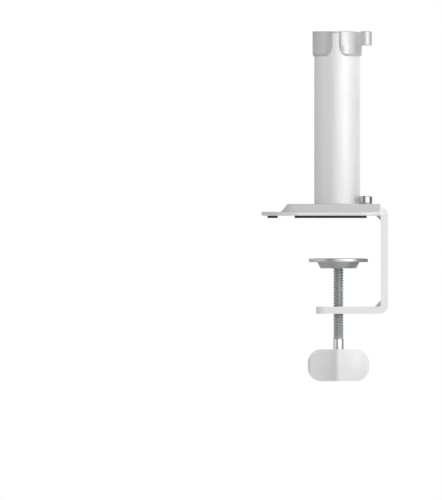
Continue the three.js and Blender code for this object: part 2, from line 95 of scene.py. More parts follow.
def combine(piece, tool, operation):
    modifier = piece.modifiers.new("combine", "BOOLEAN")
    modifier.operation = operation
    modifier.solver = "EXACT"
    modifier.object = tool
    applyModifiers(piece)
    bpy.data.objects.remove(tool)
    return piece


def joinWith(piece, *tools):
    for tool in tools:
        combine(piece, tool, "UNION")
    return piece


def cutWith(piece, *tools):
    for tool in tools:
        combine(piece, tool, "DIFFERENCE")
    return piece


# Merges points closer than the gap, in metres, and joins the faces that lie in one plane.
def mergeFlat(work, gap, degrees):
    bmesh.ops.remove_doubles(work, verts=work.verts, dist=gap)
    bmesh.ops.dissolve_limit(
        work, angle_limit=math.radians(degrees), verts=work.verts, edges=work.edges)


# Takes away the slivers that a cut leaves and splits the many-sided faces round its holes.
def cleanCut(piece, gap=4e-6):
    work = bmesh.new()
    work.from_mesh(piece.data)
    mergeFlat(work, gap, 0.2)
    wide = [face for face in work.faces if len(face.verts) > 4]
    bmesh.ops.triangulate(work, faces=wide, ngon_method="BEAUTY")
    bmesh.ops.dissolve_degenerate(work, edges=work.edges, dist=gap)
    work.to_mesh(piece.data)
    work.free()
    return piece


# Rounds every edge sharper than the angle.
def softenEdges(piece, width, segments, angle):
    work = bmesh.new()
    work.from_mesh(piece.data)
    mergeFlat(work, 2e-6, 0.4)
    work.to_mesh(piece.data)
    work.free()
    bevel = piece.modifiers.new("softenEdges", "BEVEL")
    bevel.width = width * millimetre
    bevel.segments = segments
    bevel.limit_method = "ANGLE"
    bevel.angle_limit = math.radians(angle)
    bevel.use_clamp_overlap = True
    bevel.harden_normals = True
    smoothShade(piece, 40)
    applyModifiers(piece)
    return piece


def smoothShade(piece, angle=35):
    piece.data.shade_smooth()
    piece.data.set_sharp_from_angle(angle=math.radians(angle))
    return piece


# Lets the large faces set the shading, so that long walls stay even beside their small edges.
def evenNormals(piece):
    piece.modifiers.new("evenNormals", "WEIGHTED_NORMAL").keep_sharp = True
    applyModifiers(piece)
    return piece


def dress(piece, body, nodes, material):
    piece.data.materials.clear()
    piece.data.materials.append(material)
    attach(piece, body)
    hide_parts(*nodes)
    return piece


def arcPoints(centre, radius, startAngle, endAngle, steps):
    points = []
    for step in range(steps + 1):
        angle = startAngle + (endAngle - startAngle) * step / steps
        points.append((centre[0] + radius * math.cos(angle), centre[1] + radius * math.sin(angle)))
    return points


# The points of one rounded corner between its two neighbours.
def cornerArc(before, corner, after, radius, steps):
    corner = Vector(corner)
    toBefore = (Vector(before) - corner).normalized()
    toAfter = (Vector(after) - corner).normalized()
    half = toBefore.angle(toAfter) / 2
    centre = corner + (toBefore + toAfter).normalized() * radius / math.sin(half)
    start = corner + toBefore * radius / math.tan(half) - centre
    turn = math.pi - 2 * half
    if toBefore.cross(toAfter) > 0:
        turn = -turn
    first = math.atan2(start.y, start.x)
    return arcPoints(centre, radius, first, first + turn, steps)


# An outline from corners (x, y, radius); an open one keeps its two ends sharp.
def roundedOutline(corners, steps=10, closed=True):
    points = []
    last = len(corners) - 1
    for index, (x, y, radius) in enumerate(corners):
        if radius == 0 or (not closed and index in (0, last)):
            points.append((x, y))
            continue
        before, after = corners[index - 1][:2], corners[(index + 1) % len(corners)][:2]
        points += cornerArc(before, (x, y), after, radius, steps)
    return points


def roundedRectangle(low, high, radius, steps=10):
    corners = [(low[0], low[1]), (high[0], low[1]), (high[0], high[1]), (low[0], high[1])]
    return roundedOutline([(x, y, radius) for x, y in corners], steps)


# Moves an anticlockwise outline inwards along its own normals.
def inset(points, amount):
    moved = []
    leastShare = 0.3     # keeps a very sharp corner from running away
    for index, point in enumerate(points):
        before = Vector(point) - Vector(points[index - 1])
        after = Vector(points[(index + 1) % len(points)]) - Vector(point)
        first = Vector((-before.y, before.x)).normalized()
        second = Vector((-after.y, after.x)).normalized()
        middle = (first + second).normalized()
        moved.append(tuple(Vector(point) + middle * amount / max(middle.dot(first), leastShare)))
    return moved


# Stacks rings of equal length; each ring is (outline, height).
def loft(name, rings):
    count = len(rings[0][0])
    vertices = [(x, y, height) for outline, height in rings for x, y in outline]
    faces = [list(reversed(range(count)))]
    for level in range(len(rings) - 1):
        for index in range(count):
            after = (index + 1) % count
            low, high = level * count, (level + 1) * count
            faces.append([low + index, low + after, high + after, high + index])
    faces.append([(len(rings) - 1) * count + index for index in range(count)])
    return makePiece(name, vertices, faces)


def prism(name, outline, low, high):
    return loft(name, [(outline, low), (outline, high)])


# A prism drawn in the XZ plane and drawn out along Y.
def sidePrism(name, outline, low, high):
    piece = prism(name, outline, low, high)
    for vertex in piece.data.vertices:
        x, z, y = vertex.co
        vertex.co = (x, y, z)
    recalculateNormals(piece.data)
    return piece


# Turns a closed half section of (radius, height) about a vertical axis.
def turned(name, section, axis=(0, 0), steps=128):
    vertices, rows = [], []
    for radius, height in section:
        if radius < onAxis:
            rows.append([len(vertices)] * steps)
            vertices.append((axis[0], axis[1], height))
            continue
        rows.append(list(range(len(vertices), len(vertices) + steps)))
        for step in range(steps):
            angle = 2 * math.pi * step / steps
            x, y = radius * math.cos(angle), radius * math.sin(angle)
            vertices.append((axis[0] + x, axis[1] + y, height))
    faces = []
    endsOnAxis = section[0][0] < onAxis
    pairs = list(zip(rows, rows[1:])) if endsOnAxis else list(zip(rows, rows[1:] + rows[:1]))
    for low, high in pairs:
        for step in range(steps):
            after = (step + 1) % steps
            face = [low[step], low[after], high[after], high[step]]
            faces.append(list(dict.fromkeys(face)))
    return makePiece(name, vertices, faces)


# A half section from corners (radius, height, rounding).
def roundedSection(corners, steps=4, closed=True):
    return roundedOutline(corners, steps, closed)


def rod(name, radius, low, high, axis=(0, 0), steps=64):
    section = [(0, low), (radius, low), (radius, high), (0, high)]
    return turned(name, section, axis, steps)


# shader node groups

def newGroup(name, inputs, outputs):
    group = bpy.data.node_groups.new(name, "ShaderNodeTree")
    for label, kind, value in inputs:
        group.interface.new_socket(label, in_out="INPUT", socket_type=kind).default_value = value
    for label, kind in outputs:
        group.interface.new_socket(label, in_out="OUTPUT", socket_type=kind)
    return group, group.nodes.new("NodeGroupInput"), group.nodes.new("NodeGroupOutput")


def mathNode(tree, operation, first, second=None, third=None):
    node = tree.nodes.new("ShaderNodeMath")
    node.operation = operation
    for socket, value in zip(node.inputs, (first, second, third)):
        feed(tree, socket, value)
    return node.outputs[0]


def feed(tree, socket, value):
    if isinstance(value, bpy.types.NodeSocket):
        tree.links.new(value, socket)
    elif value is not None:
        socket.default_value = value


def noiseNode(tree, vector, scale, detail=2.0, roughness=0.5):
    node = tree.nodes.new("ShaderNodeTexNoise")
    feed(tree, node.inputs["Vector"], vector)
    feed(tree, node.inputs["Scale"], scale)
    node.inputs["Detail"].default_value = detail
    node.inputs["Roughness"].default_value = roughness
    return node.outputs["Fac"]


def rangeNode(tree, value, low, high, newLow, newHigh):
    node = tree.nodes.new("ShaderNodeMapRange")
    for socket, item in zip(node.inputs, (value, low, high, newLow, newHigh)):
        feed(tree, socket, item)
    return node.outputs[0]


# Fine bumps of a coating or casting: Height for the bump, Tone around 1, Rough around 0.
def buildCoatGrain():
    group, given, result = newGroup("coatGrain", [
        ("Grain Size", "NodeSocketFloat", 0.0006),
        ("Cloud Size", "NodeSocketFloat", 0.03),
        ("Tone Change", "NodeSocketFloat", 0.03),
    ], [("Height", "NodeSocketFloat"), ("Tone", "NodeSocketFloat"), ("Rough", "NodeSocketFloat")])
    place = group.nodes.new("ShaderNodeTexCoord").outputs["Object"]
    fine = noiseNode(group, place, mathNode(group, "DIVIDE", 1.0, given.outputs["Grain Size"]), detail=2.0)
    cloud = noiseNode(group, place, mathNode(group, "DIVIDE", 1.0, given.outputs["Cloud Size"]), detail=3.0)
    fineShare, cloudShare, roughDrift = 0.35, 0.65, 0.18
    clouds = mathNode(group, "MULTIPLY", cloud, cloudShare)
    mixed = mathNode(group, "MULTIPLY_ADD", fine, fineShare, clouds)
    shift = mathNode(group, "SUBTRACT", mixed, 0.5)
    tone = mathNode(group, "MULTIPLY_ADD", shift, given.outputs["Tone Change"], 1.0)
    rough = mathNode(group, "MULTIPLY", mathNode(group, "SUBTRACT", cloud, 0.5), roughDrift)
    group.links.new(fine, result.inputs["Height"])
    group.links.new(tone, result.inputs["Tone"])
    group.links.new(rough, result.inputs["Rough"])
    return group


# Lines left by drawing, turning or brushing: stretched noise, along Z or round an axis.
def buildToolLines():
    group, given, result = newGroup("toolLines", [
        ("Line Width", "NodeSocketFloat", 0.0004),
        ("Axis X", "NodeSocketFloat", 0.0),
        ("Axis Y", "NodeSocketFloat", 0.0),
        ("Turned", "NodeSocketFloat", 0.0),
    ], [("Height", "NodeSocketFloat"), ("Tone", "NodeSocketFloat")])
    place = group.nodes.new("ShaderNodeTexCoord").outputs["Object"]
    parts = group.nodes.new("ShaderNodeSeparateXYZ")
    group.links.new(place, parts.inputs[0])
    overX = mathNode(group, "SUBTRACT", parts.outputs[0], given.outputs["Axis X"])
    overY = mathNode(group, "SUBTRACT", parts.outputs[1], given.outputs["Axis Y"])
    squares = mathNode(group, "MULTIPLY_ADD", overX, overX, mathNode(group, "MULTIPLY", overY, overY))
    radius = mathNode(group, "SQRT", squares)
    scale = mathNode(group, "DIVIDE", 1.0, given.outputs["Line Width"])
    drawn = group.nodes.new("ShaderNodeCombineXYZ")
    feed(group, drawn.inputs[0], parts.outputs[0])
    feed(group, drawn.inputs[1], parts.outputs[1])
    stretch = 0.012      # drawn lines are this much slower along Z
    feed(group, drawn.inputs[2], mathNode(group, "MULTIPLY", parts.outputs[2], stretch))
    around = group.nodes.new("ShaderNodeCombineXYZ")
    feed(group, around.inputs[0], radius)
    feed(group, around.inputs[1], parts.outputs[2])
    chosen = group.nodes.new("ShaderNodeMix")
    chosen.data_type = "VECTOR"
    feed(group, chosen.inputs[0], given.outputs["Turned"])
    feed(group, chosen.inputs[4], drawn.outputs[0])
    feed(group, chosen.inputs[5], around.outputs[0])
    lines = noiseNode(group, chosen.outputs[1], scale, detail=3.0, roughness=0.6)
    group.links.new(lines, result.inputs["Height"])
    group.links.new(rangeNode(group, lines, 0.25, 0.75, 0.95, 1.05), result.inputs["Tone"])
    return group


# Handling marks: soft-edged patches that are a little duller, for Roughness.
def buildHandling():
    group, given, result = newGroup("handlingMarks", [
        ("Patch Size", "NodeSocketFloat", 0.02),
        ("Amount", "NodeSocketFloat", 0.1),
    ], [("Mask", "NodeSocketFloat")])
    place = group.nodes.new("ShaderNodeTexCoord").outputs["Object"]
    size = mathNode(group, "DIVIDE", 1.0, given.outputs["Patch Size"])
    patches = noiseNode(group, place, size, detail=4.0, roughness=0.6)
    patch = rangeNode(group, patches, 0.48, 0.68, 0.0, 1.0)
    group.links.new(mathNode(group, "MULTIPLY", patch, given.outputs["Amount"]), result.inputs["Mask"])
    return group


coatGrain = buildCoatGrain()
toolLines = buildToolLines()
handlingMarks = buildHandling()


# materials

def startMaterial(name, colour, metallic, roughness):
    material = bpy.data.materials.new(name)
    material.use_nodes = True
    material.diffuse_color = (*colour, 1)
    tree = material.node_tree
    shader = tree.nodes["Principled BSDF"]
    shader.inputs["Base Color"].default_value = (*colour, 1)
    shader.inputs["Metallic"].default_value = metallic
    shader.inputs["Roughness"].default_value = roughness
    return material, tree, shader


def placeGroup(tree, group, **values):
    node = tree.nodes.new("ShaderNodeGroup")
    node.node_tree = group
    for label, value in values.items():
        words = "".join(" " + c if c.isupper() else c for c in label).strip()
        node.inputs[words[0].upper() + words[1:]].default_value = value
    return node


def tint(tree, shader, colour, tones):
    factor = tones[0]
    for tone in tones[1:]:
        factor = mathNode(tree, "MULTIPLY", factor, tone)
    scaled = tree.nodes.new("ShaderNodeVectorMath")
    scaled.operation = "SCALE"
    scaled.inputs[0].default_value = colour
    tree.links.new(factor, scaled.inputs["Scale"])
    tree.links.new(scaled.outputs[0], shader.inputs["Base Color"])


def roughen(tree, shader, roughness, additions):
    total, least = roughness, 0.03
    for addition in additions:
        total = mathNode(tree, "ADD", addition, total)
    clamped = mathNode(tree, "MAXIMUM", mathNode(tree, "MINIMUM", total, 1.0), least)
    tree.links.new(clamped, shader.inputs["Roughness"])


def bump(tree, shader, height, strength, distance):
    node = tree.nodes.new("ShaderNodeBump")
    node.inputs["Strength"].default_value = strength
    node.inputs["Distance"].default_value = distance
    tree.links.new(height, node.inputs["Height"])
    tree.links.new(node.outputs[0], shader.inputs["Normal"])


# A sprayed coat: faint orange peel, a slight drift of tone, duller where it is handled.
def coatedMaterial(name, colour, roughness, grain, depth, metallic=0.0, coat=0.0):
    material, tree, shader = startMaterial(name, colour, metallic, roughness)
    coatNode = placeGroup(tree, coatGrain, grainSize=grain, cloudSize=0.035, toneChange=0.05)
    marks = placeGroup(tree, handlingMarks, patchSize=0.018, amount=0.06)
    shader.inputs["Coat Weight"].default_value = coat
    shader.inputs["Coat Roughness"].default_value = 0.15
    tint(tree, shader, colour, [coatNode.outputs["Tone"]])
    roughen(tree, shader, roughness, [coatNode.outputs["Rough"], marks.outputs["Mask"]])
    bump(tree, shader, coatNode.outputs["Height"], depth, distance=0.0001)
    return material


# Bare or plated metal with the lines that its making left.
def linedMetal(name, colour, roughness, lineWidth, depth, axis=(0, 0), turnedLines=1.0, metallic=1.0):
    material, tree, shader = startMaterial(name, colour, metallic, roughness)
    lines = placeGroup(tree, toolLines, lineWidth=lineWidth, axisX=axis[0] * millimetre,
                       axisY=axis[1] * millimetre, turned=turnedLines)
    coatNode = placeGroup(tree, coatGrain, grainSize=0.0012, cloudSize=0.02, toneChange=0.08)
    marks = placeGroup(tree, handlingMarks, patchSize=0.012, amount=0.08)
    tint(tree, shader, colour, [lines.outputs["Tone"], coatNode.outputs["Tone"]])
    roughen(tree, shader, roughness, [coatNode.outputs["Rough"], marks.outputs["Mask"]])
    bump(tree, shader, lines.outputs["Height"], depth, distance=0.00005)
    return material


# A rolled thread above a polished shank: the change comes at the height where the thread ends.
def threadedMetal(name, threadBottom):
    colour, roughness = (0.53, 0.55, 0.56), 0.42
    shankGain, shankPolish = 0.4, -0.18
    material, tree, shader = startMaterial(name, colour, 1.0, roughness)
    grain = placeGroup(tree, coatGrain, grainSize=0.0012, cloudSize=0.02, toneChange=0.06)
    marks = placeGroup(tree, handlingMarks, patchSize=0.012, amount=0.05)
    place = tree.nodes.new("ShaderNodeSeparateXYZ")
    tree.links.new(tree.nodes.new("ShaderNodeTexCoord").outputs["Object"], place.inputs[0])
    end = threadBottom * millimetre
    polish = rangeNode(tree, place.outputs[2], end, end + millimetre, 1.0, 0.0)
    brighter = mathNode(tree, "MULTIPLY_ADD", polish, shankGain, 1.0)
    smoother = mathNode(tree, "MULTIPLY", polish, shankPolish)
    tint(tree, shader, colour, [grain.outputs["Tone"], brighter])
    roughen(tree, shader, roughness, [grain.outputs["Rough"], marks.outputs["Mask"], smoother])
    return material


def rubberMaterial():
    colour, roughness = (0.033, 0.033, 0.036), 0.68
    material, tree, shader = startMaterial("blackRubber", colour, 0.0, roughness)
    grain = placeGroup(tree, coatGrain, grainSize=0.0005, cloudSize=0.012, toneChange=0.35)
    marks = placeGroup(tree, handlingMarks, patchSize=0.006, amount=0.12)
    shader.inputs["Specular IOR Level"].default_value = 0.35
    tint(tree, shader, colour, [grain.outputs["Tone"]])
    roughen(tree, shader, roughness, [grain.outputs["Rough"], marks.outputs["Mask"]])
    bump(tree, shader, grain.outputs["Height"], strength=0.6, distance=0.0001)
    return material


screwAxis = axisOf("spindle")
silverPaint = coatedMaterial(
    "silverPaint", (0.83, 0.83, 0.835), roughness=0.38, grain=0.0007, depth=0.25, metallic=0.1)
bracketPaint = coatedMaterial(
    "bracketPaint", (0.92, 0.92, 0.92), roughness=0.45, grain=0.0006, depth=0.3)
handlePaint = coatedMaterial(
    "handlePaint", (0.88, 0.88, 0.88), roughness=0.33, grain=0.0009, depth=0.15, coat=0.25)
satinAluminium = linedMetal(
    "satinAluminium", (0.87, 0.87, 0.875), roughness=0.46, lineWidth=0.0005, depth=0.06,
    turnedLines=0.0, metallic=0.25)
hubAluminium = linedMetal(
    "hubAluminium", (0.63, 0.63, 0.64), roughness=0.36, lineWidth=0.0006, depth=0.04, metallic=0.4)
zincSteel = linedMetal(
    "zincSteel", (0.55, 0.57, 0.58), roughness=0.27, lineWidth=0.0005, depth=0.1, axis=screwAxis)
brightSteel = linedMetal(
    "brightSteel", (0.62, 0.62, 0.63), roughness=0.34, lineWidth=0.0004, depth=0.1, axis=screwAxis)
chromePlate = linedMetal(
    "chromePlate", (0.46, 0.46, 0.47), roughness=0.05, lineWidth=0.0008, depth=0.02)
blackRubber = rubberMaterial()
darkPlastic = coatedMaterial(
    "darkPlastic", (0.045, 0.045, 0.05), roughness=0.5, grain=0.0005, depth=0.5)
paleNylon = coatedMaterial(
    "paleNylon", (0.78, 0.77, 0.72), roughness=0.45, grain=0.001, depth=0.1)
print("materials made")


# base shell: a flat rim with a raised, sloping middle

baseShape = {
    "noseWidth": 26, "noseAngle": 60, "noseRadius": 6, "shoulderRadius": 24, "tailRadius": 14,
    "rimHeight": 3, "rimRounding": 0.7,
    "domeNose": 14.55, "domeTail": 12, "domeWidth": 63, "domeCorner": 10, "domeSlope": 5.2,
    "domeFillet": 2.3, "domeFoot": 1.0, "domeFlat": 1.2, "skirt": 1.6, "skirtDrop": 0.05, "skirtEnd": 0.2,
    "skirtDepth": 1.2, "trimInset": 0.02, "trimHeight": 0.8, "pocketGap": 0.2, "pocketRoof": 0.05,
    "pocketCorner": 7.3, "screwHole": 3.15, "edge": 0.35,
}


def rimOutline(shape, low, high):
    half, noseHalf = (high.y - low.y) / 2, shape["noseWidth"] / 2
    shoulder = low.x + (half - noseHalf) / math.tan(math.radians(shape["noseAngle"]))
    return roundedOutline([
        (high.x, -half, shape["tailRadius"]), (high.x, half, shape["tailRadius"]),
        (shoulder, half, shape["shoulderRadius"]), (low.x, noseHalf, shape["noseRadius"]),
        (low.x, -noseHalf, shape["noseRadius"]), (shoulder, -half, shape["shoulderRadius"]),
    ], steps=16)


# A plate with its upper and lower edges rounded.
def roundedPlate(name, outline, low, high, rounding, steps=4):
    turns = [math.pi / 2 * step / steps for step in range(steps + 1)]
    rings = []
    for turn in turns:
        height = low + rounding * (1 - math.cos(turn))
        rings.append((inset(outline, rounding * (1 - math.sin(turn))), height))
    for turn in turns:
        height = high - rounding * (1 - math.sin(turn))
        rings.append((inset(outline, rounding * (1 - math.cos(turn))), height))
    return loft(name, rings)


# The raised middle; its skirt runs out under the rim's top, so that the two join.
def buildDome(shape, low, high):
    rimTop = low.z + shape["rimHeight"]
    half, skirt, slope = shape["domeWidth"] / 2, shape["skirt"], shape["domeSlope"]
    outline = roundedRectangle(
        (low.x + shape["domeNose"], -half), (high.x + shape["domeTail"], half), shape["domeCorner"], 16)
    flank = roundedSection([
        (-skirt, rimTop - shape["skirtDrop"], 0), (shape["skirtEnd"], rimTop, shape["domeFoot"]),
        (slope, high.z, shape["domeFillet"]), (slope + shape["domeFlat"], high.z, 0),
    ], steps=6, closed=False)
    rings = [(inset(outline, -skirt), rimTop - shape["skirtDepth"])]
    rings += [(inset(outline, amount), height) for amount, height in flank]
    return loft("dome", rings)


def buildBaseShell(shape):
    low, high = boxOf("base_shell")
    flangeLow, flangeHigh = boxOf("clamp_bracket")
    outline = rimOutline(shape, low, high)
    shell = roundedPlate("baseShell", outline, low.z, low.z + shape["rimHeight"], shape["rimRounding"])
    dome = buildDome(shape, low, high)
    trim = prism(
        "trim", inset(outline, shape["trimInset"]), low.z + shape["trimHeight"], high.z + overrun)
    joinWith(shell, combine(dome, trim, "INTERSECT"))
    gap = shape["pocketGap"]
    half = (flangeHigh.y - flangeLow.y) / 2 + gap
    plan = roundedRectangle(
        (flangeLow.x - gap, -half), (high.x + farOverrun, half), shape["pocketCorner"])
    pocket = prism("pocket", plan, low.z - overrun, flangeHigh.z + shape["pocketRoof"])
    holes = [rod("hole", shape["screwHole"], low.z - overrun, high.z + overrun, axisOf(node), steps=32)
             for node in bracketScrewNodes]
    cutWith(shell, pocket, *holes)
    softenEdges(shell, shape["edge"], 2, 40)
    return dress(shell, "base", ["base_shell"], silverPaint)


# desk pads: flat rubber with soft corners; the main one has a boss inside the base

padShape = {"corner": 3.5, "rounding": 0.35, "bossCorner": 7.3, "bossGap": 0.2}


def buildMainPad(shape):
    low, high = boxOf("desk_pad_main")
    flangeLow, flangeHigh = boxOf("clamp_bracket")
    thickness = boxOf("desk_pad_nose")[1].z
    sheet = roundedRectangle((low.x, low.y), (high.x, high.y), shape["corner"])
    pad = roundedPlate("mainPad", sheet, low.z, thickness, shape["rounding"])
    gap = shape["bossGap"]
    half = (flangeHigh.y - flangeLow.y) / 2 - gap
    plan = roundedRectangle(
        (max(low.x, flangeLow.x) + gap, -half), (high.x, half), shape["bossCorner"])
    boss = prism("boss", plan, thickness / 2, high.z)
    return smoothShade(dress(joinWith(pad, boss), "base", ["desk_pad_main"], blackRubber))


def buildNosePad(shape):
    low, high = boxOf("desk_pad_nose")
    outline = roundedRectangle((low.x, low.y), (high.x, high.y), shape["corner"])
    pad = roundedPlate("nosePad", outline, low.z, high.z, shape["rounding"])
    return smoothShade(dress(pad, "base", ["desk_pad_nose"], blackRubber))


# clamp bracket: one bent strip with a pressed rib in each corner

bracketShape = {
    "thickness": 5.5, "outerBend": 6, "innerBend": 0.9, "jawNose": 16, "flangeNose": 33,
    "corner": 7.3, "ribLeg": 4.6, "ribRoot": 1.6, "ribWidth": 10, "spindleHole": 4.25,
    "screwHole": 3.15, "boltHole": 4.15, "sinkRadius": 9.2, "sinkDepth": 4.1, "edge": 0.55,
}


def buildRib(shape, cornerX, cornerZ, direction):
    leg, sunk = shape["ribLeg"], shape["ribRoot"]
    outline = [
        (cornerX - leg, cornerZ), (cornerX - leg, cornerZ - direction * sunk),
        (cornerX + sunk, cornerZ - direction * sunk), (cornerX + sunk, cornerZ + direction * leg),
        (cornerX, cornerZ + direction * leg),
    ]
    if direction > 0:
        outline.reverse()
    half = shape["ribWidth"] / 2
    return sidePrism("rib", outline, -half, half)


def buildBracket(shape):
    low, high = boxOf("clamp_bracket")
    wall, bend, tight = shape["thickness"], shape["outerBend"], shape["innerBend"]
    inner, underFlange, jawTop = high.x - wall, high.z - wall, low.z + wall
    sideView = roundedOutline([
        (-shape["flangeNose"], underFlange, 0), (inner, underFlange, tight), (inner, jawTop, tight),
        (-shape["jawNose"], jawTop, 0), (-shape["jawNose"], low.z, 0), (high.x, low.z, bend),
        (high.x, high.z, bend), (-shape["flangeNose"], high.z, 0),
    ], steps=12)
    strip = sidePrism("clampBracket", sideView, low.y, high.y)
    middle = (underFlange + jawTop) / 2
    ends = [
        (shape["jawNose"], low.z - overrun, middle), (shape["flangeNose"], middle, high.z + overrun),
    ]
    beyond, corner = 5, shape["corner"]
    for nose, bottom, top in ends:
        # takes the two corners off one end of the strip
        outside = prism("outside", [
            (-nose - beyond, low.y - beyond), (-nose + corner, low.y - beyond),
            (-nose + corner, high.y + beyond), (-nose - beyond, high.y + beyond)], bottom, top)
        plan = roundedRectangle((-nose, low.y), (high.x + farOverrun, high.y), corner, 14)
        cutWith(strip, cutWith(outside, prism("kept", plan, bottom - overrun, top + overrun)))
    joinWith(strip, buildRib(shape, inner, jawTop, 1), buildRib(shape, inner, underFlange, -1))
    cutWith(strip, rod(
        "spindleHole", shape["spindleHole"], low.z - overrun, jawTop + overrun, screwAxis, steps=48))
    under, over = underFlange - overrun, high.z + overrun
    for node in bracketScrewNodes:
        cutWith(strip, rod("hole", shape["screwHole"], under, over, axisOf(node), steps=32))
    bolt = shape["boltHole"]
    cutWith(strip, turned("countersink", [
        (0, under), (shape["sinkRadius"], under), (bolt, underFlange + shape["sinkDepth"]),
        (bolt, over), (0, over)], steps=48))
    softenEdges(strip, shape["edge"], 3, 40)
    return dress(strip, "base", ["clamp_bracket"], bracketPaint)


# post

postShape = {"wall": 2.5, "footEdge": 0.3, "rimEdge": 0.12}


def buildPost(shape):
    low, high = boxOf("post_tube")
    outer, inner = high.x, high.x - shape["wall"]
    foot, rim = shape["footEdge"], shape["rimEdge"]
    section = roundedSection([
        (inner, low.z, foot), (outer, low.z, foot), (outer, high.z, rim), (inner, high.z, rim)])
    post = turned("postTube", section, steps=160)
    return smoothShade(dress(post, "base", ["post_tube"], satinAluminium))


# swivel hub

hubShape = {
    "skirtWall": 1.05, "skirtHeight": 18.8, "taper": 0.5, "taperHeight": 1.8, "flange": 1.2,
    "grooveHeight": 10.7, "groove": 0.05, "grooveHalf": 0.2, "linerWall": 1.75, "spigotFloor": 6,
    "well": 8.5, "bolt": 4.15, "firstRow": 3, "rowStep": 0.5, "rows": 9,
    "slitWidth": 5.3, "slitOffset": -0.95, "flareWidth": 6, "flareHeight": 9,
    "barrelDiameter": 10, "barrelHeight": 10.8, "barrelRoot": 0.5, "headHole": 2.9,
    "threadHole": 1.65, "postGap": 0.05, "edge": 0.42,
    "roll": 2.1, "rollShare": 0.8,
    # how far the turned corners are rounded
    "spigotFoot": 0.5, "lipInside": 0.1, "lipOutside": 0.3, "taperEnd": 1.0, "rimEdge": 0.5,
    "wellEdge": 0.3, "barrelFoot": 0.6,
}


def slitOutline(shape, bottom, top):
    left = shape["slitOffset"] - shape["slitWidth"] / 2
    right = shape["slitOffset"] + shape["slitWidth"] / 2
    width, height, steps = shape["flareWidth"], shape["flareHeight"], 14

    def flare(centre, first, last):
        angles = [first + (last - first) * step / steps for step in range(steps + 1)]
        return [(centre + width * math.cos(a), bottom + height + height * math.sin(a)) for a in angles]

    points = flare(left - width, 0, -math.pi / 2)
    points += [(left - width, bottom - 3 * overrun), (right + width, bottom - 3 * overrun)]
    points += flare(right + width, -math.pi / 2, -math.pi)
    return points + [(right, top), (left, top)]


# Thins the skirt towards the slit's right edge, so that this lip is rolled inwards.
def rollLip(hub, shape, inner, outer, bottom):
    flareTop = bottom + shape["flareHeight"]
    edge = shape["slitOffset"] + shape["slitWidth"] / 2
    close = 0.01
    for vertex in hub.data.vertices:
        place = vertex.co / millimetre
        radius = math.hypot(place.x, place.y)
        away = place.x - edge
        isSkirt = inner < radius < outer + close and place.z >= bottom - close
        if place.y > 0 or away < -close or not isSkirt:
            continue
        if place.z < flareTop and away < shape["flareWidth"]:
            across = 1 - away / shape["flareWidth"]
            down = (flareTop - place.z) / shape["flareHeight"]
            away = (1 - math.hypot(across, down)) * shape["flareWidth"]
        if away < shape["roll"]:
            closeness = 1 - max(away, 0) / shape["roll"]
            thinner = 1 - shape["rollShare"] * (1 - math.sqrt(1 - closeness ** 2))
            wanted = inner + (radius - inner) * thinner
            vertex.co.x *= wanted / radius
            vertex.co.y *= wanted / radius


def buildHub(shape):
    low, high = boxOf("hub_collar")
    outer = -low.x
    inner, spigot = outer - shape["skirtWall"], boxOf("hub_liner")[1].x - shape["linerWall"]
    top, bottom = high.z, high.z - shape["skirtHeight"]
    line, dent, fine = top - shape["grooveHeight"], shape["groove"], shape["grooveHalf"]
    flange, wellFloor = top - shape["flange"], low.z + shape["spigotFloor"]
    # rows of points up the skirt, for the rolled lip to bend
    firstRow = bottom + shape["firstRow"]
    rows = [(outer, firstRow + shape["rowStep"] * row, 0) for row in range(shape["rows"])]
    section = roundedSection([
        (shape["bolt"], low.z, 0), (spigot, low.z, shape["spigotFoot"]), (spigot, flange, 0),
        (inner, flange, 0), (inner, bottom, shape["lipInside"]),
        (outer - shape["taper"], bottom, shape["lipOutside"]),
        (outer, bottom + shape["taperHeight"], shape["taperEnd"]),
        *rows,
        (outer, line - fine, 0), (outer - dent, line, 0), (outer, line + fine, 0),
        (outer, top, shape["rimEdge"]), (shape["well"], top, shape["wellEdge"]),
        (shape["well"], wellFloor, 0), (shape["bolt"], wellFloor, 0),
    ])
    hub = turned("hubCollar", section, steps=240)
    radius = shape["barrelDiameter"] / 2
    barrelAxis, barrelBottom = (high.x - radius, 0), top - shape["barrelHeight"]
    barrel = turned("barrel", roundedSection([
        (0, barrelBottom, 0), (radius, barrelBottom, shape["barrelFoot"]),
        (radius, top, shape["rimEdge"]), (0, top, 0),
    ], steps=4, closed=False), barrelAxis, steps=64)
    under, over = barrelBottom - overrun, top + overrun
    cutWith(barrel, rod("skirtRoom", inner + shape["barrelRoot"], under, over, steps=160))
    slit = sidePrism("slit", slitOutline(shape, bottom, over), -outer - overrun, -outer / 2)
    postRadius = boxOf("post_tube")[1].x + shape["postGap"]
    cutWith(slit, rod(
        "postRoom", postRadius, bottom - 4 * overrun, top + 2 * overrun, steps=160))
    joinWith(hub, barrel)
    screwSeat = boxOf("arm_fixing_screw")[0].z + screwShapes["arm"]["height"]
    cutWith(hub, slit,
            rod("headHole", shape["headHole"], under, screwSeat, barrelAxis, steps=48),
            rod("threadHole", shape["threadHole"], barrelBottom, over, barrelAxis, steps=32))
    softenEdges(hub, shape["edge"], 3, 50)
    rollLip(hub, shape, inner, outer, bottom)
    evenNormals(hub)
    return dress(hub, "hub", ["hub_collar"], hubAluminium)


capShape = {"edge": 0.6, "footEdge": 0.2, "crown": 0.05, "ring": 2.7, "ringHalf": 0.3, "ringDepth": 0.3}


def buildHubCap(shape):
    low, high = boxOf("hub_cap")
    radius = high.x
    ring, half = radius - shape["ring"], shape["ringHalf"]
    section = roundedSection([
        (0, low.z, 0), (radius, low.z, shape["footEdge"]),
        (radius, high.z - shape["crown"], shape["edge"]), (ring + half, high.z, 0),
        (ring, high.z - shape["ringDepth"], 0), (ring - half, high.z, 0), (0, high.z, 0),
    ], steps=4, closed=False)
    cap = turned("hubCap", section, steps=96)
    return smoothShade(dress(cap, "hub", ["hub_cap"], darkPlastic))


# screws: one head shape, set out by a node tree

